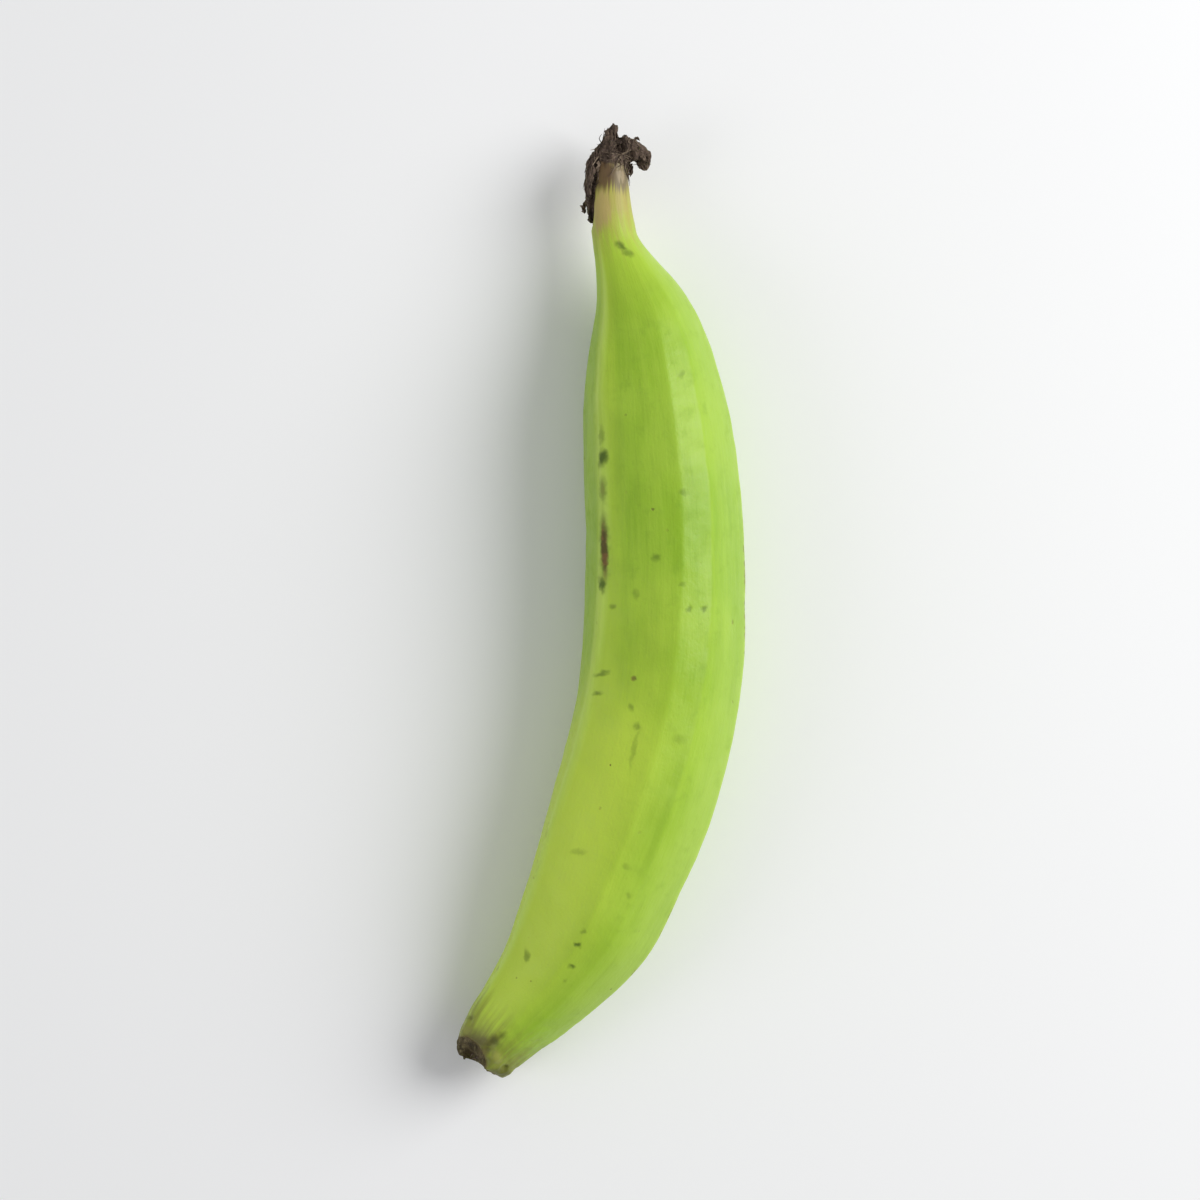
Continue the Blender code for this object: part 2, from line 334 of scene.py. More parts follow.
TIP_STAINS = (
    ((0.125, 0.105, 0.032, 1), (
        (-39.6, -138.2, 6.4, 4.6, 30, 0.85), (-36.8, -137.8, 6.6, 2.6, 0, 0.8), (-36.4, -141.8, 2.0, 3.8, 0, 0.8),
    )),
    ((0.30, 0.31, 0.065, 1), ((-32.2, -142.8, 2.0, 4.2, 14, 0.7), (-41.6, -134.4, 1.9, 1.3, 0, 0.7))),
    ((0.100, 0.105, 0.012, 1), (
        (-32.4, -137.0, 1.2, 5.6, -54, 0.65), (-30.6, -147.8, 4.8, 2.2, -10, 0.8),
        (-40.8, -130.8, 0.9, 2.6, -60, 0.5),
    )),
)
# The tip's deepest dents drawn almost black: partly its blackish dried tissue, partly painted shade in the hollows.
TIP_DARK_TISSUE_AND_SHADE = ((-41.2, -142.8, 2.2, 2.6, 0, 0.9), (-38.4, -146.0, 2.0, 1.6, 0, 0.6))
SCAR_RED = (0.20, 0.085, 0.032, 1)
# A paler, bluer green painted on the right flank as sheen, standing in for the light that falls on that side.
PAINTED_SHEEN_GREEN = (0.36, 0.52, 0.12, 1)
SCAR_DENT_MM = 0.35


class PeelSettings(bpy.types.PropertyGroup):
    green: colour_setting("Green", "The peel's main colour", (0.265, 0.455, 0.022))
    pale_green: colour_setting("Pale green", "The lighter streaks and patches", (0.37, 0.56, 0.050))
    lower_green: colour_setting("Lower green", "The paler flank in the lower half", (0.52, 0.70, 0.062))
    # The paler ridges are partly wear and partly a painted highlight along the crests.
    ridge_green: colour_setting("Ridge green", "The worn, paler ridges", (0.56, 0.76, 0.125))
    neck_yellow: colour_setting("Neck yellow", "The neck below the torn end", (0.43, 0.37, 0.09))
    neck_tan: colour_setting("Neck tan", "The drying tissue at the root of the torn end", (0.20, 0.145, 0.062))
    tip_olive: colour_setting("Tip olive", "The last centimetre before the tip", (0.22, 0.22, 0.035))
    mark_brown: colour_setting("Mark brown", "Scars and specks on the peel", (0.085, 0.055, 0.012))
    dried_brown: colour_setting("Dried brown", "The dried tissue at both ends", (0.125, 0.085, 0.062))
    tip_brown: colour_setting("Tip brown", "The dried face of the tip", (0.165, 0.130, 0.062))
    lump_height: FloatProperty(
        name="Lump height", description="How uneven the sides of the fruit are", subtype="DISTANCE", unit="LENGTH",
        default=0.0011, min=0.0, max=0.004,
    )
    fineness: IntProperty(
        name="Fineness", description="How often the packed shape is divided", default=2, min=1, max=2
    )


def merged_copy(node, name):
    """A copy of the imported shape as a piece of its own, with its loose triangles joined."""
    piece = put_in_scene(bpy.data.objects.new(name, node.data.copy()))
    activate(piece)
    bpy.ops.mesh.customdata_custom_splitnormals_clear()
    edit_all(piece)
    bpy.ops.mesh.remove_doubles(threshold=JOIN_GAP)
    bpy.ops.mesh.tris_convert_to_quads()
    bpy.ops.mesh.mark_sharp(clear=True)
    leave_edit()
    piece.data.materials.clear()
    piece.data.shade_smooth()
    return piece


def mark_ridges(mesh):
    """Stores how strongly each ridge is drawn, pale from wear and a painted highlight and scuffed, and holds its
    edges a little against the smoothing.
    """
    place = straightened(points_of(mesh))
    turned = np.degrees(np.arctan2(place[:, 2], place[:, 0]))
    wear_and_sheen = np.where(turned > 110, LEFT_WEAR_AND_SHEEN, np.where(turned > 20, TOP_WEAR_AND_SHEEN, LOW_WEAR_AND_SHEEN))
    bm = bmesh.new()
    bm.from_mesh(mesh)
    crease = bm.edges.layers.float.new("crease_edge")
    sharpness = np.zeros(len(bm.verts))
    for edge in bm.edges:
        if len(edge.link_faces) != 2:
            continue
        middle = (edge.verts[0].co + edge.verts[1].co) / 2
        if not RIDGES_FROM_Y <= middle.y <= RIDGES_TO_Y or middle.z < FLAT_SPOT_TOP:
            continue
        turn = math.degrees(edge.calc_face_angle(0.0))
        amount = float(ease(turn, *RIDGE_ANGLES))
        edge[crease] = RIDGE_HOLD * amount
        for vertex in edge.verts:
            sharpness[vertex.index] = max(sharpness[vertex.index], amount * wear_and_sheen[vertex.index])
    bm.to_mesh(mesh)
    bm.free()
    set_attribute(mesh, "ridge", "FLOAT", sharpness)


def weight_group(piece, name, weights):
    group = piece.vertex_groups.new(name=name)
    for i, weight in enumerate(weights):
        if weight > 0.001:
            group.add([i], float(weight), "REPLACE")
    return name


def push_out(piece, name, size, height, group, place=None, kind="CLOUDS"):
    """Moves the surface in and out by soft noise of that size, where the group allows it."""
    texture = bpy.data.textures.new(name, kind)
    texture.noise_scale = size
    if kind == "CLOUDS":
        texture.noise_depth = 2
    else:  # creased, like crumpled paper
        texture.weight_1, texture.weight_2 = -1.0, 1.0
    settings = dict(texture=texture, strength=height, mid_level=0.5, vertex_group=group)
    if place is None:
        settings["texture_coords"] = "LOCAL"
    else:
        settings.update(texture_coords="OBJECT", texture_coords_object=place)
    apply_modifier(piece, "DISPLACE", name, **settings)


def dried_share(points):
    """1 on the torn stem end and its loose parts, 0 on the peel."""
    share = ease(points[:, 1], 0.1335, 0.1400)
    near = np.flatnonzero(points[:, 1] > 0.110)
    for rod in DRIED_RODS_MM:
        line = smooth_line(rod, PATTERN_STEP_MM) * MM
        away = points[near, None, :] - line[None, :, :3]
        flat = (away[..., 0] ** 2 + away[..., 1] ** 2) / line[:, 3] ** 2
        gaps = np.sqrt(flat + away[..., 2] ** 2 / line[:, 4] ** 2)
        share[near] = np.maximum(share[near], 1 - ease(gaps.min(1), 0.85, 1.25))
    return share


def tip_share(points):
    """1 in the tip's hollow and on its brown end face, 0 on the peel."""
    away = points - np.array(TIP_MIDDLE_MM) * MM
    past = away @ np.array(TIP_FACING)
    out = np.linalg.norm(away - past[:, None] * np.array(TIP_FACING), axis=1)
    hollow = ease(past, -0.0015, 0.003) * (1 - ease(out, 0.0062, 0.0088))
    x, y, across, along, turn = TIP_FACE_MM
    turn = math.radians(turn)
    aside = points[:, :2] / MM - (x, y)
    wide = (aside[:, 0] * math.cos(turn) + aside[:, 1] * math.sin(turn)) / across
    long = (aside[:, 1] * math.cos(turn) - aside[:, 0] * math.sin(turn)) / along
    return np.maximum(hollow, 1 - ease(np.hypot(wide, long), 0.75, 1.15))


def divide_tip(piece):
    """Divides the tip once more, so that its small folds have shape."""
    bpy.context.tool_settings.mesh_select_mode = (False, False, True)
    edit_all(piece)
    select_only(piece, "faces", lambda face: face.calc_center_median().y < TIP_DIVIDED_TO_Y)
    bpy.ops.mesh.subdivide(number_cuts=1, smoothness=0.0)
    leave_edit()


def press(piece, dents):
    """Presses soft dents and bumps into the surface from above."""
    height = on_top(piece)
    bpy.context.tool_settings.mesh_select_mode = (True, False, False)
    edit_all(piece)
    for x, y, reach, move in dents:
        bpy.ops.mesh.select_all(action="DESELECT")
        bm = bmesh.from_edit_mesh(piece.data)
        aim = Vector((x * MM, y * MM, height(x, y)))
        min(bm.verts, key=lambda v: (v.co - aim).length_squared).select_set(True)
        bmesh.update_edit_mesh(piece.data)
        bpy.ops.transform.translate(
            value=[m * MM for m in move], use_proportional_edit=True, proportional_edit_falloff="SMOOTH",
            proportional_size=reach * MM,
        )
    leave_edit()


def scar_dents():
    """Shallow dents along the scars of the ridge."""
    rows = []
    for x, y, across, along, _, strength in RIDGE_SCAR:
        for step in range(-int(along // 4), int(along // 4) + 1):
            rows.append((x, y + 4 * step, across + 1.4, (0.0, 0.0, -SCAR_DENT_MM * strength)))
    return tuple(rows)


def build_peel(settings):
    piece = merged_copy(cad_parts[NODE], "plantain_peel")
    mark_ridges(piece.data)
    apply_modifier(piece, "SUBSURF", "smooth_peel", levels=settings.fineness, render_levels=settings.fineness)
    divide_tip(piece)
    press(piece, TIP_DENTS_MM + HEAD_DENTS_MM + scar_dents())
    points = points_of(piece.data)
    off_surface = ease(points[:, 2], 0.001, 0.006)
    torn = dried_share(points)
    tip = ease(-points[:, 1], 0.124, 0.142)
    lumps = weight_group(piece, "sides", off_surface * (1 - torn))
    push_out(piece, "broad_lumps", 0.030, settings.lump_height, lumps)
    push_out(piece, "fine_lumps", 0.009, settings.lump_height * 0.35, lumps)
    torn_group = weight_group(piece, "torn", torn)
    push_out(piece, "torn_folds", 0.0034, 0.0022, torn_group, kind="VORONOI")
    grain = put_in_scene(bpy.data.objects.new("grain_of_torn_end", None))
    grain.scale = TORN_GRAIN_SIZE
    bpy.context.view_layer.update()
    push_out(piece, "torn_fibres", 0.9, 0.0013, torn_group, grain)
    bpy.data.objects.remove(grain)
    tip_group = weight_group(piece, "tip", tip * off_surface)
    push_out(piece, "tip_wrinkles", 0.0040, 0.0007, tip_group)
    hollow = weight_group(piece, "hollow", tip_share(points))
    push_out(piece, "hollow_crumple", 0.0018, 0.0013, hollow, kind="VORONOI")
    piece.vertex_groups.clear()

    points = points_of(piece.data)
    place = straightened(points)
    set_attribute(piece.data, "fruit_place", "FLOAT_VECTOR", place)
    set_attribute(piece.data, "dried", "FLOAT", dried_share(points))
    set_attribute(piece.data, "tip_hollow", "FLOAT", tip_share(points))
    piece.data.shade_smooth()
    piece.data.materials.append(peel_material(settings, piece))
    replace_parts(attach(piece, BODY), NODE)


def on_top(piece):
    """Gives the height of the piece's upper surface over a place in millimetres."""
    tree = surface_of(piece)

    def height(x, y):
        hit = tree.ray_cast(Vector((x * MM, y * MM, ABOVE_FRUIT)), Vector((0, 0, -1)))[0]
        return hit.z if hit else 0.0

    return height


def marks(recipe, rows, height, place, inner=0.55, outer=1.15):
    """One mask for a list of marks, each a soft-edged oval lying on the upper surface."""
    total = None
    for x, y, across, along, turn, strength in rows:
        offset = recipe.vector("SUBTRACT", place, (x * MM, y * MM, height(x, y)))
        if turn:
            inputs = {"Vector": offset, "Angle": -math.radians(turn)}
            offset = recipe.add("ShaderNodeVectorRotate", inputs, rotation_type="Z_AXIS").outputs["Vector"]
        deep = max(3.0, across)
        sized = recipe.vector("MULTIPLY", offset, (1 / (across * MM), 1 / (along * MM), 1 / (deep * MM)))
        mask = recipe.spread(recipe.vector("LENGTH", sized), inner, outer, strength, 0.0)
        total = mask if total is None else recipe.larger(total, mask)
    return total


def scaled(colour, *factors):
    """A colour made darker or paler, by one factor or by one for each channel."""
    factors = factors * 3 if len(factors) == 1 else factors
    return tuple(min(1.0, c * f) for c, f in zip(colour[:3], factors)) + (1,)


def shaken(recipe, place, scale, reach):
    """The place moved about by noise, so that what is drawn there has a ragged edge."""
    return recipe.vector("ADD", place, recipe.vector("MULTIPLY", noise_vector(recipe, place, scale), reach))


# How fine the patterns of the peel are, in features for each metre.
STREAK_SCALE, FINE_STREAK_SCALE, BAND_SCALE = 420.0, 1500.0, 130.0
PATCH_SCALE, MOTTLE_SCALE, PORE_SCALE = 26.0, 160.0, 900.0
SPECK_SCALE, FINE_SPECK_SCALE, CROWD_SCALE = 95.0, 240.0, 38.0
SCUFF_SCALE, SCUFF_GRAIN_SCALE, REDNESS_SCALE = 75.0, 420.0, 480.0
# How fine the dried tissue is at the ends of the fruit, and on the loose pieces.
TISSUE_PATCH_SCALE, TISSUE_GRAIN_SCALE = 330.0, 1500.0
LOOSE_PATCH_SCALE, LOOSE_GRAIN_SCALE = 420.0, 2200.0


class PeelPattern:
    """What the colours of the peel share: its places and its noises."""

    def __init__(self, recipe, piece):
        self.place = recipe.attribute("fruit_place", "Vector")
        self.lengthwise = recipe.vector("MULTIPLY", self.place, (1.0, 0.07, 1.0))
        self.streaks = recipe.noise(self.lengthwise, STREAK_SCALE, 5.0, 0.6)
        self.fine_streaks = recipe.noise(self.lengthwise, FINE_STREAK_SCALE, 3.0, 0.6)
        self.mottle = recipe.noise(recipe.place, MOTTLE_SCALE, 4.0, 0.6)
        split = recipe.add("ShaderNodeSeparateXYZ", {0: self.place})
        self.side, self.run, self.up = (split.outputs[k] for k in range(3))
        self.ridge = recipe.attribute("ridge", "Fac")
        self.crumbly = shaken(recipe, recipe.place, 700.0, (0.0012,) * 3)
        self.soft = shaken(recipe, recipe.place, 330.0, (0.003,) * 3)
        drawn_out = recipe.vector("MULTIPLY", noise_vector(recipe, self.lengthwise, 500.0), (0.002, 0.008, 0.002))
        self.torn = recipe.vector("ADD", recipe.place, drawn_out)
        self.height = on_top(piece)


def skin_colour(recipe, settings, pattern):
    """The green of the peel: patches, lengthwise streaks, a paler lower flank, ridges paler from wear and a painted
    highlight, a painted highlight beside the left ridge and a painted sheen on the right flank.
    """
    green, pale = tuple(settings.green), tuple(settings.pale_green)
    deep = scaled(green, 0.68, 0.72, 0.8)
    patches = recipe.noise(recipe.place, PATCH_SCALE, 3.0, 0.5)
    bands = recipe.noise(recipe.vector("MULTIPLY", pattern.place, (1.0, 0.16, 1.0)), BAND_SCALE, 3.0, 0.55)
    colour = recipe.mix(recipe.spread(patches, 0.35, 0.68, 0.0, 0.75), green, pale)
    colour = recipe.mix(recipe.spread(bands, 0.50, 0.70, 0.0, 0.30), colour, deep)
    colour = recipe.mix(recipe.spread(pattern.streaks, 0.42, 0.72, 0.0, 0.42), colour, pale)
    colour = recipe.mix(recipe.spread(pattern.mottle, 0.52, 0.78, 0.0, 0.40), colour, deep)
    colour = recipe.mix(recipe.spread(pattern.fine_streaks, 0.5, 0.8, 0.0, 0.22), colour, deep)
    shoulder = recipe.spread(pattern.run, 0.030, 0.062, 0.45, 0.0)
    colour = recipe.mix(shoulder, colour, tuple(settings.lower_green))
    uneven_run = recipe.calc("ADD", pattern.run, recipe.times(recipe.calc("SUBTRACT", patches, 0.5), 0.09))
    lower_half = recipe.spread(uneven_run, 0.120, 0.205)
    left_flank = recipe.spread(pattern.side, 0.011, -0.011, 0.12, 1.0)
    colour = recipe.mix(recipe.times(lower_half, left_flank), colour, tuple(settings.lower_green))
    # Painted highlight: a paler band along the left ridge, in the lower green.
    above_ridge = recipe.spread(pattern.side, -0.0095, -0.0140, 0.0, 0.42)
    ridge_highlight_band = recipe.times(above_ridge, recipe.spread(pattern.up, 0.0095, 0.0125))
    colour = recipe.mix(ridge_highlight_band, colour, tuple(settings.lower_green))
    # Painted sheen: the right flank is mixed towards a paler green, as if lit from the right.
    colour = recipe.mix(recipe.spread(pattern.side, 0.011, 0.018, 0.0, 0.22), colour, PAINTED_SHEEN_GREEN)
    # Paler ridges: partly wear, partly a painted highlight along their crests.
    crests = recipe.spread(pattern.ridge, 0.25, 0.95)
    worn_and_sheen = recipe.times(crests, recipe.spread(pattern.streaks, 0.25, 0.6, 0.25, 0.85))
    return recipe.mix(worn_and_sheen, colour, tuple(settings.ridge_green))


def stained_ends(recipe, settings, pattern, colour):
    """The yellow and tan neck and the olive tip, with their stains and a painted highlight on top of the neck."""
    sway = recipe.times(recipe.calc("SUBTRACT", pattern.streaks, 0.5), 0.03)
    wavy = recipe.calc("ADD", pattern.run, sway)
    end = sum_of_lengths(MIDLINE_MM)
    colour = recipe.mix(recipe.spread(wavy, 0.012, 0.034, 0.85, 0.0), colour, tuple(settings.neck_yellow))
    colour = recipe.mix(recipe.spread(wavy, 0.000, 0.013, 0.95, 0.0), colour, tuple(settings.neck_tan))
    for mark_colour, rows in NECK_STAINS_AND_HIGHLIGHT:
        colour = recipe.mix(marks(recipe, rows, pattern.height, pattern.torn), colour, mark_colour)
    colour = recipe.mix(recipe.spread(wavy, end - 0.018, end + 0.002, 0.0, 0.85), colour, tuple(settings.tip_olive))
    for mark_colour, rows in TIP_STAINS:
        colour = recipe.mix(marks(recipe, rows, pattern.height, pattern.soft, 0.3, 1.3), colour, mark_colour)
    return colour


def blemishes(recipe, settings, pattern, colour):
    """Scars, stains, specks and scuffed ridges. Gives the colour and where the skin is hurt."""
    olive = marks(recipe, OLIVE_STAINS, pattern.height, pattern.soft, 0.2, 1.3)
    colour = recipe.mix(olive, colour, DARK_OLIVE)
    scars = marks(recipe, RIDGE_SCAR, pattern.height, pattern.crumbly, 0.4, 1.2)
    specks = scattered(recipe, pattern.crumbly, SPECK_SCALE, 0.60, 0.100)
    crowded = recipe.spread(recipe.noise(recipe.place, CROWD_SCALE, 2.0), 0.48, 0.62)
    fine_specks = recipe.times(scattered(recipe, pattern.crumbly, FINE_SPECK_SCALE, 0.50, 0.17), crowded)
    stretched = recipe.vector("MULTIPLY", pattern.soft, (1.0, 0.3, 1.0))
    scuffs = recipe.spread(recipe.noise(stretched, SCUFF_SCALE, 5.0, 0.75), 0.55, 0.64)
    broken = recipe.noise(recipe.place, SCUFF_GRAIN_SCALE, 4.0, 0.7)
    scuffs = recipe.times(scuffs, recipe.spread(broken, 0.42, 0.56))
    scuffs = recipe.times(scuffs, recipe.spread(pattern.ridge, 0.25, 0.5))
    scuffs = recipe.times(scuffs, recipe.spread(pattern.up, 0.012, 0.002, 0.0, 0.8))
    hurt = scars
    for mask in (specks, fine_specks, scuffs):
        hurt = recipe.larger(hurt, mask)
    redness = recipe.spread(recipe.noise(recipe.place, REDNESS_SCALE, 3.0), 0.4, 0.6, 0.1, 0.9)
    hurt_colour = recipe.mix(redness, tuple(settings.mark_brown), SCAR_RED)
    return recipe.mix(hurt, colour, hurt_colour), recipe.larger(hurt, recipe.times(olive, 0.6))


def dried_ends(recipe, settings, pattern, colour, grain):
    """The torn stem end and the face of the tip, darkest in the tip's deepest dents: partly its blackish dried
    tissue, partly painted shade. Gives the colour and how dry the place is.
    """
    patch = recipe.noise(recipe.place, TISSUE_PATCH_SCALE, 3.0, 0.6)
    uneven = recipe.calc("SUBTRACT", patch, 0.5)
    torn = recipe.calc("ADD", recipe.attribute("dried", "Fac"), recipe.times(uneven, 0.9))
    dry = recipe.spread(torn, 0.35, 0.62)
    colour = recipe.mix(dry, colour, dried_colour(recipe, settings.dried_brown, grain, patch))
    face = recipe.calc("ADD", recipe.attribute("tip_hollow", "Fac"), recipe.times(uneven, 0.7))
    colour = recipe.mix(recipe.spread(face, 0.10, 0.45, 0.0, 0.7), colour, scaled(settings.tip_brown, 1.2, 1.2, 0.7))
    dry_face = recipe.spread(face, 0.40, 0.80)
    tissue = dried_colour(recipe, settings.tip_brown, grain, patch)
    # Darkest in the tip's hollows: partly blackish dried tissue, partly painted shade.
    folds = marks(recipe, TIP_DARK_TISSUE_AND_SHADE, pattern.height, pattern.soft)
    tissue = recipe.mix(folds, tissue, scaled(settings.tip_brown, 0.38, 0.32, 0.25))
    return recipe.mix(dry_face, colour, tissue), recipe.larger(dry, dry_face)


def peel_material(settings, piece):
    recipe = Recipe("green_peel")
    pattern = PeelPattern(recipe, piece)
    colour = skin_colour(recipe, settings, pattern)
    colour = stained_ends(recipe, settings, pattern, colour)
    colour, hurt = blemishes(recipe, settings, pattern, colour)
    along = recipe.vector("MULTIPLY", recipe.place, (1.0, 0.22, 1.0))
    grain = recipe.noise(along, TISSUE_GRAIN_SCALE, 5.0, 0.65)
    colour, dry = dried_ends(recipe, settings, pattern, colour, grain)

    shader = recipe.shader
    recipe.give(shader.inputs["Base Color"], colour)
    rough = recipe.calc("ADD", recipe.spread(pattern.mottle, 0.3, 0.8, 0.36, 0.52), recipe.times(dry, 0.42))
    rough = recipe.calc("ADD", rough, recipe.times(hurt, 0.2), clamp=True)
    recipe.give(shader.inputs["Roughness"], rough)
    shader.inputs["Subsurface Weight"].default_value = 0.08
    shader.inputs["Subsurface Radius"].default_value = (0.6, 1.0, 0.2)
    shader.inputs["Subsurface Scale"].default_value = 0.002
    shader.inputs["Specular IOR Level"].default_value = 0.3

    pores, _ = recipe.cells(recipe.vector("MULTIPLY", pattern.place, (1.0, 0.7, 1.0)), PORE_SCALE)
    normal = recipe.bump(recipe.spread(pores, 0.1, 0.5), 0.00004, 0.5)
    normal = recipe.bump(pattern.fine_streaks, 0.0001, 0.5, normal)
    normal = recipe.bump(pattern.streaks, 0.0002, 0.4, normal)
    normal = recipe.bump(pattern.mottle, 0.0004, 0.45, normal)
    normal = recipe.bump(recipe.times(hurt, -1.0), 0.00025, 0.8, normal)
    normal = recipe.bump(recipe.times(grain, dry), 0.0011, 1.0, normal)
    recipe.give(shader.inputs["Normal"], normal)
    return recipe.material


def scattered(recipe, place, scale, share, size):
    """Scattered specks of varied size and strength, of which the given share is left out."""
    gap, chance = recipe.cells(place, scale)
    split = recipe.add("ShaderNodeSeparateColor", {0: chance})
    reach = recipe.spread(split.outputs["Red"], share, 1.0, 0.0, size)
    there = recipe.spread(recipe.calc("DIVIDE", gap, recipe.larger(reach, 0.001)), 0.35, 1.15, 1.0, 0.0)
    return recipe.times(there, recipe.spread(split.outputs["Green"], 0.0, 1.0, 0.25, 0.8))


def sum_of_lengths(points):
    return float(np.linalg.norm(np.diff(np.array(points), axis=0), axis=1).sum()) * MM


def noise_vector(recipe, place, scale):
    """Noise with a middle of zero in all three directions."""
    node = recipe.add("ShaderNodeTexNoise", {"Vector": place, "Scale": scale, "Detail": 2.0})
    return recipe.vector("SUBTRACT", node.outputs["Color"], (0.5, 0.5, 0.5))


def dried_colour(recipe, brown, grain, patch):
    """Dead plant tissue: brown with paler fibres and dark folds."""
    colour = recipe.mix(recipe.spread(patch, 0.35, 0.6), scaled(brown, 0.42), scaled(brown, 1.0))
    return recipe.mix(recipe.spread(grain, 0.50, 0.75, 0.0, 0.7), colour, scaled(brown, 2.2, 2.4, 2.4))


class PLANTAIN_OT_peel(bpy.types.Operator):
    """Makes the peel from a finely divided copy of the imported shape"""

    bl_idname = "plantain.peel"
    bl_label = "Make the peel"

    def execute(self, context):
        build_peel(context.scene.plantain_peel)
        return {"FINISHED"}


STRAND_STEPS = 10
# How the fibres of the torn end run: the x from which each part of it starts, in metres, and their way there.
TISSUE_WAYS = (
    (0.0105, (0.62, -0.75, -0.2)), (0.0010, (0.10, -1.0, 0.0)), (-1.0, (-0.05, -1.0, 0.05)),
)


class TissueSettings(bpy.types.PropertyGroup):
    fibre_count: IntProperty(
        name="Fibres", description="Loose fibres on the torn stem end", default=130, min=1, max=400
    )
    fibre_width: FloatProperty(
        name="Fibre width", description="The usual width of a fibre", subtype="DISTANCE", unit="LENGTH",
        default=0.00042, min=0.0001, max=0.002,
    )
    flake_count: IntProperty(
        name="Flakes", description="Curled scraps on the torn stem end", default=20, min=1, max=80
    )
    shred_count: IntProperty(
        name="Tip shreds", description="Scraps round the tip's hollow", default=14, min=1, max=60
    )
    fibre_brown: colour_setting("Fibre brown", "The darker fibres", (0.11, 0.075, 0.055))
    fibre_tan: colour_setting("Fibre tan", "The paler fibres", (0.36, 0.28, 0.20))


def strand_shape():
    """One straight fibre along X, a unit long and wide, lobed across and drawn out to a point."""
    deselect_all()
    bpy.ops.mesh.primitive_circle_add(vertices=5, radius=0.5, fill_type="NGON", rotation=(0, math.pi / 2, 0))
    strand = bpy.context.object
    bpy.ops.object.transform_apply(location=False, rotation=True, scale=False)
    edit_all(strand)
    for step in range(STRAND_STEPS):
        bpy.ops.mesh.extrude_region_move(TRANSFORM_OT_translate={"value": (1 / STRAND_STEPS, 0, 0)})
        narrower = (1 - (step + 1) / (STRAND_STEPS + 1)) ** 0.6 / (1 - step / (STRAND_STEPS + 1)) ** 0.6
        wider = 1.14 if step % 2 else 0.88
        bpy.ops.transform.resize(value=(1, narrower * wider, narrower * wider))
    bpy.ops.mesh.select_all(action="SELECT")
    bpy.ops.mesh.normals_make_consistent(inside=False)
    leave_edit()
    return strand


def flake_shape():
    """One thin, curled scrap, a unit long from its root at the origin along Y, with torn sides."""
    deselect_all()
    bpy.ops.mesh.primitive_plane_add(size=1.0, location=(0, 0.5, 0))
    flake = bpy.context.object
    bpy.ops.object.transform_apply(location=True, rotation=False, scale=False)
    edit_all(flake)
    bpy.ops.mesh.subdivide(number_cuts=7)
    bpy.context.tool_settings.mesh_select_mode = (True, False, False)
    for row, width in ((0, 0.55), (1, 0.8), (5, 0.9), (6, 0.72), (7, 0.5), (8, 0.22)):
        select_only(flake, "verts", lambda vertex: abs(vertex.co.y - row / 8) < 0.01)
        bpy.ops.transform.resize(value=(width, 1, 1))
    bpy.ops.mesh.select_all(action="SELECT")
    bpy.ops.transform.vertex_random(offset=0.045, uniform=0.3, normal=0.4, seed=3)
    leave_edit()
    apply_modifier(flake, "SIMPLE_DEFORM", "curl", deform_method="BEND", deform_axis="X", angle=math.radians(75))
    apply_modifier(flake, "SOLIDIFY", "thickness", thickness=0.05, offset=0.0)
    apply_modifier(flake, "SUBSURF", "soften", levels=1, render_levels=1)
    return flake


def own_copy(shape):
    copy = shape.copy()
    copy.data = shape.data.copy()
    return put_in_scene(copy)


def strand_path(tree, start, heading, length, lift, rng):
    """A smooth line over the surface that lifts off towards its end."""
    place, normal, _, _ = tree.find_nearest(start)
    heading = Vector(heading)
    points = []
    for step in range(STRAND_STEPS + 1):
        share = step / STRAND_STEPS
        points.append(place + normal * (0.00012 + lift * share**2))
        heading = heading + Vector([rng.gauss(0, 0.22) for _ in range(3)])
        heading -= normal * heading.dot(normal)
        heading.normalize()
        place, normal, _, _ = tree.find_nearest(place + heading * (length / STRAND_STEPS))
    for _ in range(3):
        points = [
            p if i in (0, STRAND_STEPS) else (points[i - 1] + p * 2 + points[i + 1]) / 4 for i, p in enumerate(points)
        ]
    return points


def lay_strand(shape, points, width, tone):
    """A copy of the fibre, bent along those points."""
    curve = bpy.data.curves.new("path", "CURVE")
    curve.dimensions = "3D"
    spline = curve.splines.new("NURBS")
    spline.points.add(len(points) - 1)
    for point, place in zip(spline.points, points):
        point.co = (*place, 1)
    spline.order_u = 3
    spline.use_endpoint_u = True
    path = put_in_scene(bpy.data.objects.new("path", curve))
    strand = own_copy(shape)
    length = sum((b - a).length for a, b in zip(points, points[1:]))
    activate(strand)
    strand.scale = (length, width, width * 0.7)
    bpy.ops.object.transform_apply(location=False, rotation=False, scale=True)
    apply_modifier(strand, "CURVE", "along_path", object=path, deform_axis="POS_X")
    bpy.data.objects.remove(path)
    set_attribute(strand.data, "tone", "FLOAT", np.full(len(strand.data.vertices), tone))
    return strand


def set_flake(shape, tree, start, heading, length, width, tilt, tone):
    """A copy of the scrap with its root sunk in the surface and its free end standing off."""
    place, normal, _, _ = tree.find_nearest(start)
    ahead = Vector(heading) - normal * Vector(heading).dot(normal)
    ahead.normalize()
    ahead = (ahead * math.cos(tilt) + normal * math.sin(tilt)).normalized()
    across = ahead.cross(normal).normalized()
    out = across.cross(ahead)
    flake = own_copy(shape)
    turn = Matrix((across, ahead, out)).transposed().to_4x4()
    size = Matrix.Diagonal((width, length, length, 1))
    activate(flake)
    flake.matrix_world = Matrix.Translation(place - normal * 0.0003) @ turn @ size
    bpy.ops.object.transform_apply(location=True, rotation=True, scale=True)
    set_attribute(flake.data, "tone", "FLOAT", np.full(len(flake.data.vertices), tone))
    return flake


def join_pieces(parts, name):
    activate(parts[0])
    for part in parts:
        part.select_set(True)
    bpy.ops.object.join()
    piece = bpy.context.object
    piece.name = name
    piece.data.name = name
    return piece


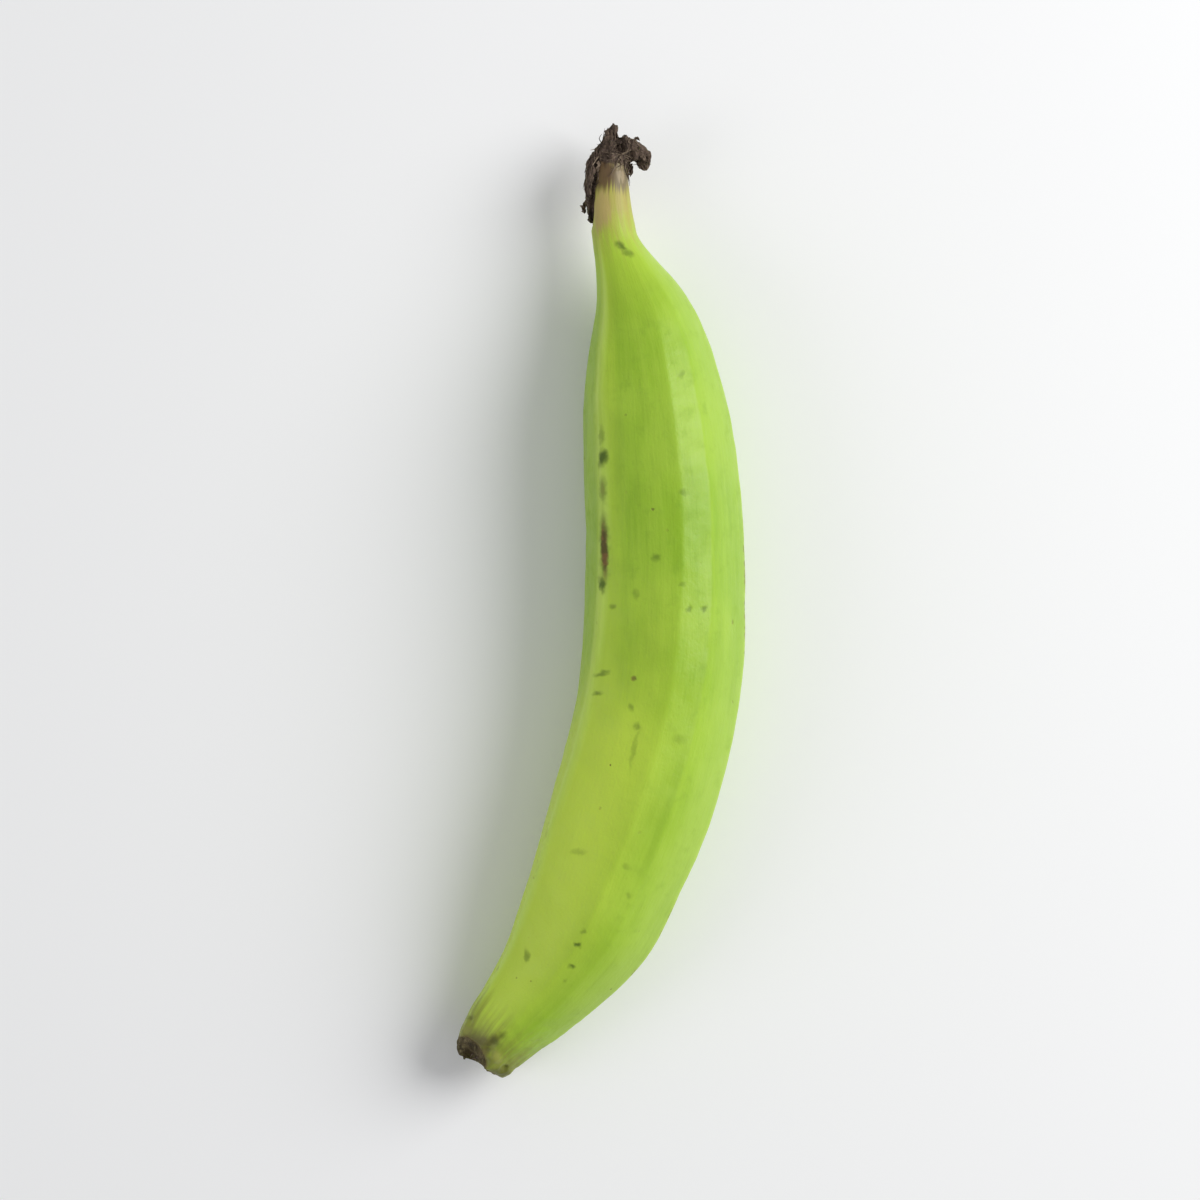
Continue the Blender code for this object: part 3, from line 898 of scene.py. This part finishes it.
def tissue_material(settings, name):
    """Dried tissue: brown to tan fibre by fibre, with fine grain along it."""
    recipe = Recipe(name)
    tone = recipe.attribute("tone", "Fac")
    grain = recipe.noise(recipe.vector("MULTIPLY", recipe.place, (1.0, 0.25, 1.0)), LOOSE_GRAIN_SCALE, 4.0, 0.6)
    patch = recipe.noise(recipe.place, LOOSE_PATCH_SCALE, 3.0, 0.6)
    colour = recipe.mix(tone, tuple(settings.fibre_brown), tuple(settings.fibre_tan))
    darker = recipe.mix(1.0, colour, (0.35, 0.32, 0.30, 1), "MULTIPLY")
    colour = recipe.mix(recipe.spread(patch, 0.42, 0.66), darker, colour)
    paler = recipe.mix(0.5, colour, tuple(settings.fibre_tan))
    colour = recipe.mix(recipe.spread(grain, 0.5, 0.75), colour, paler)
    recipe.give(recipe.shader.inputs["Base Color"], colour)
    recipe.give(recipe.shader.inputs["Roughness"], recipe.spread(grain, 0.3, 0.7, 0.92, 0.74))
    recipe.shader.inputs["Specular IOR Level"].default_value = 0.25
    recipe.give(recipe.shader.inputs["Normal"], recipe.bump(grain, 0.0002, 0.9))
    return recipe.material


def finish_tissue(piece, settings):
    piece.data.materials.clear()
    piece.data.materials.append(tissue_material(settings, piece.name + "_tissue"))
    piece.data.shade_smooth()
    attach(piece, BODY)


def stem_starts(peel, rng, count, least):
    """Places on the torn stem end, spread by chance."""
    points = points_of(peel.data)
    share = dried_share(points)
    found = np.flatnonzero((share > 0.7) & (points[:, 1] > least))
    return [Vector(points[found[rng.randrange(len(found))]]) for _ in range(count)]


def tissue_way(place):
    return next(way for least, way in TISSUE_WAYS if place.x > least)


def build_fibres(settings):
    peel = bpy.data.objects["plantain_peel"]
    tree = surface_of(peel)
    rng = random.Random(11)
    shape = strand_shape()
    parts = []
    for start in stem_starts(peel, rng, settings.fibre_count, 0.1300):
        frayed = rng.random() < 0.22
        way = Vector(tissue_way(start))
        if frayed:
            way = -way
        length = rng.uniform(0.003, 0.006) if frayed else rng.uniform(0.005, 0.011)
        lift = rng.uniform(0.0008, 0.0020) if frayed else rng.uniform(0.0001, 0.0006)
        points = strand_path(tree, start, way, length, lift, rng)
        if max(p.y for p in points) > CAD_BOX[1][1] + 0.0008:
            continue
        width = settings.fibre_width * rng.uniform(0.55, 1.5)
        parts.append(lay_strand(shape, points, width, rng.random() ** 1.6))
    bpy.data.objects.remove(shape)
    finish_tissue(join_pieces(parts, "stem_fibres"), settings)


def build_flakes(settings):
    peel = bpy.data.objects["plantain_peel"]
    tree = surface_of(peel)
    rng = random.Random(23)
    shape = flake_shape()
    parts = []
    for start in stem_starts(peel, rng, settings.flake_count, 0.1200):
        way = Vector(tissue_way(start)) + Vector((rng.gauss(0, 0.3), rng.gauss(0, 0.2), 0))
        length = rng.uniform(0.0022, 0.0048)
        tilt = math.radians(rng.uniform(2, 22))
        parts.append(
            set_flake(shape, tree, start, way, length, length * rng.uniform(0.4, 0.75), tilt, rng.random() * 0.6)
        )
    bpy.data.objects.remove(shape)
    piece = join_pieces(parts, "stem_flakes")
    push_out(piece, "flake_warp", 0.0016, 0.0007, "")
    finish_tissue(piece, settings)


def build_shreds(settings):
    """Short scraps and fibres round the hollow of the tip."""
    peel = bpy.data.objects["plantain_peel"]
    tree = surface_of(peel)
    rng = random.Random(5)
    flake, strand = flake_shape(), strand_shape()
    facing = Vector(TIP_FACING)
    across = Vector((-facing.y, facing.x, 0))
    middle = Vector(TIP_MIDDLE_MM) * MM
    parts = []
    for k in range(settings.shred_count):
        angle = math.tau * (k + rng.uniform(-0.3, 0.3)) / settings.shred_count
        outward = across * math.cos(angle) + Vector((0, 0, math.sin(angle)))
        start = middle + outward * rng.uniform(0.0035, 0.0062) - facing * 0.001
        if k % 3:
            points = strand_path(tree, start, -outward, rng.uniform(0.0025, 0.0045), rng.uniform(0.0001, 0.0007), rng)
            parts.append(lay_strand(strand, points, settings.fibre_width * rng.uniform(0.7, 1.4), rng.random() * 0.5))
        else:
            length = rng.uniform(0.0018, 0.0032)
            tilt = math.radians(rng.uniform(8, 30))
            parts.append(set_flake(flake, tree, start, -outward, length, length * 0.7, tilt, rng.random() * 0.3))
    for shape in (flake, strand):
        bpy.data.objects.remove(shape)
    finish_tissue(join_pieces(parts, "tip_shreds"), settings)


class PLANTAIN_OT_fibres(bpy.types.Operator):
    """Lays loose fibres over the torn stem end"""

    bl_idname = "plantain.fibres"
    bl_label = "Lay the stem fibres"

    def execute(self, context):
        build_fibres(context.scene.plantain_tissue)
        return {"FINISHED"}


class PLANTAIN_OT_flakes(bpy.types.Operator):
    """Sets curled scraps of dried skin on the torn stem end"""

    bl_idname = "plantain.flakes"
    bl_label = "Set the stem flakes"

    def execute(self, context):
        build_flakes(context.scene.plantain_tissue)
        return {"FINISHED"}


class PLANTAIN_OT_shreds(bpy.types.Operator):
    """Sets dried scraps and fibres round the hollow of the tip"""

    bl_idname = "plantain.shreds"
    bl_label = "Set the tip shreds"

    def execute(self, context):
        build_shreds(context.scene.plantain_tissue)
        return {"FINISHED"}


KEY_PLACE, KEY_SIZE = (1.25, 0.45, 1.0), 1.3
FILL_PLACE, FILL_SIZE = (-1.3, -0.3, 0.9), 0.9
MIDDLE_HEIGHT = 0.022
SURROUND_COLOUR = (0.97, 0.98, 1.0, 1)


class StageSettings(bpy.types.PropertyGroup):
    floor_colour: colour_setting("Floor", "The plain pale surface", (0.93, 0.93, 0.93))
    floor_radius: FloatProperty(
        name="Floor radius", description="From the middle of the floor to its rim", subtype="DISTANCE", unit="LENGTH",
        default=6.0, min=1.0,
    )
    key_power: FloatProperty(
        name="Key light", description="Power of the large soft light at the upper right", unit="POWER", default=24.0
    )
    fill_power: FloatProperty(
        name="Fill light", description="Power of the soft light at the left", unit="POWER", default=3.0
    )
    sky_strength: FloatProperty(
        name="Surround", description="Strength of the even light from all round", default=0.42, min=0.0
    )
    lens: FloatProperty(
        name="Lens", description="Focal length in millimetres", default=135.0, min=20.0, subtype="DISTANCE_CAMERA"
    )
    frame_width: FloatProperty(
        name="Frame width", description="How much of the surface the picture spans", subtype="DISTANCE",
        unit="LENGTH", default=0.375,
    )


def soft_light(name, place, size, power):
    """A round, soft light that is aimed at the middle of the surface and isn't seen itself."""
    data = bpy.data.lights.new(name, "AREA")
    data.shape = "DISK"
    data.size = size
    data.energy = power
    light = put_in_scene(bpy.data.objects.new(name, data))
    light.location = place
    light.rotation_euler = (-Vector(place)).to_track_quat("-Z", "Y").to_euler()
    light.visible_camera = False


def build_stage(settings):
    deselect_all()
    bpy.ops.mesh.primitive_circle_add(vertices=96, radius=settings.floor_radius, fill_type="NGON", location=(0, 0, 0))
    floor = bpy.context.object
    floor.name = "floor"
    edit_all(floor)
    bpy.ops.mesh.inset(thickness=0.4, depth=0.0)
    leave_edit()
    recipe = Recipe("pale_surface")
    faint = recipe.noise(recipe.place, 3.0, 2.0)
    base = tuple(settings.floor_colour)
    dimmer = tuple(c * 0.99 for c in base[:3]) + (1,)
    recipe.give(recipe.shader.inputs["Base Color"], recipe.mix(faint, base, dimmer))
    recipe.shader.inputs["Roughness"].default_value = 0.85
    recipe.shader.inputs["Specular IOR Level"].default_value = 0.2
    floor.data.materials.append(recipe.material)

    world = bpy.data.worlds.new("soft_surround")
    bpy.context.scene.world = world
    world.use_nodes = True
    background = world.node_tree.nodes["Background"]
    background.inputs["Color"].default_value = SURROUND_COLOUR
    background.inputs["Strength"].default_value = settings.sky_strength
    soft_light("key_light", KEY_PLACE, KEY_SIZE, settings.key_power)
    soft_light("fill_light", FILL_PLACE, FILL_SIZE, settings.fill_power)

    camera_data = bpy.data.cameras.new("camera")
    camera_data.sensor_width = 36.0
    camera_data.lens = settings.lens
    camera = put_in_scene(bpy.data.objects.new("camera", camera_data))
    height = settings.frame_width * settings.lens / camera_data.sensor_width
    camera.location = (0, 0, height + MIDDLE_HEIGHT)
    bpy.context.scene.camera = camera
    bpy.context.scene.view_settings.view_transform = "Standard"


class PLANTAIN_OT_stage(bpy.types.Operator):
    """Makes the pale surface, the soft lights and the camera"""

    bl_idname = "plantain.stage"
    bl_label = "Set the stage"

    def execute(self, context):
        build_stage(context.scene.plantain_stage)
        return {"FINISHED"}


class PLANTAIN_PT_panel(bpy.types.Panel):
    """Lists the sizes and colours and the steps that make the fruit"""

    bl_label = "Green plantain"
    bl_idname = "PLANTAIN_PT_panel"
    bl_space_type = "VIEW_3D"
    bl_region_type = "UI"
    bl_category = "Plantain"

    def draw(self, context):
        for group, steps in (
            (context.scene.plantain_peel, ("plantain.peel",)),
            (context.scene.plantain_tissue, ("plantain.fibres", "plantain.flakes", "plantain.shreds")),
            (context.scene.plantain_stage, ("plantain.stage",)),
        ):
            box = self.layout.box()
            for name in group.__annotations__:
                box.prop(group, name)
            for step in steps:
                box.operator(step)


CLASSES = (
    PeelSettings, TissueSettings, StageSettings, PLANTAIN_OT_peel, PLANTAIN_OT_fibres, PLANTAIN_OT_flakes,
    PLANTAIN_OT_shreds, PLANTAIN_OT_stage, PLANTAIN_PT_panel,
)


def register():
    for item in CLASSES:
        bpy.utils.register_class(item)
    bpy.types.Scene.plantain_peel = PointerProperty(type=PeelSettings)
    bpy.types.Scene.plantain_tissue = PointerProperty(type=TissueSettings)
    bpy.types.Scene.plantain_stage = PointerProperty(type=StageSettings)


def unregister():
    del bpy.types.Scene.plantain_stage
    del bpy.types.Scene.plantain_tissue
    del bpy.types.Scene.plantain_peel
    for item in reversed(CLASSES):
        bpy.utils.unregister_class(item)


def main():
    register()
    bpy.ops.plantain.stage()
    bpy.ops.plantain.peel()
    bpy.ops.plantain.fibres()
    bpy.ops.plantain.flakes()
    bpy.ops.plantain.shreds()
    deselect_all()


if __name__ == "__main__":
    main()
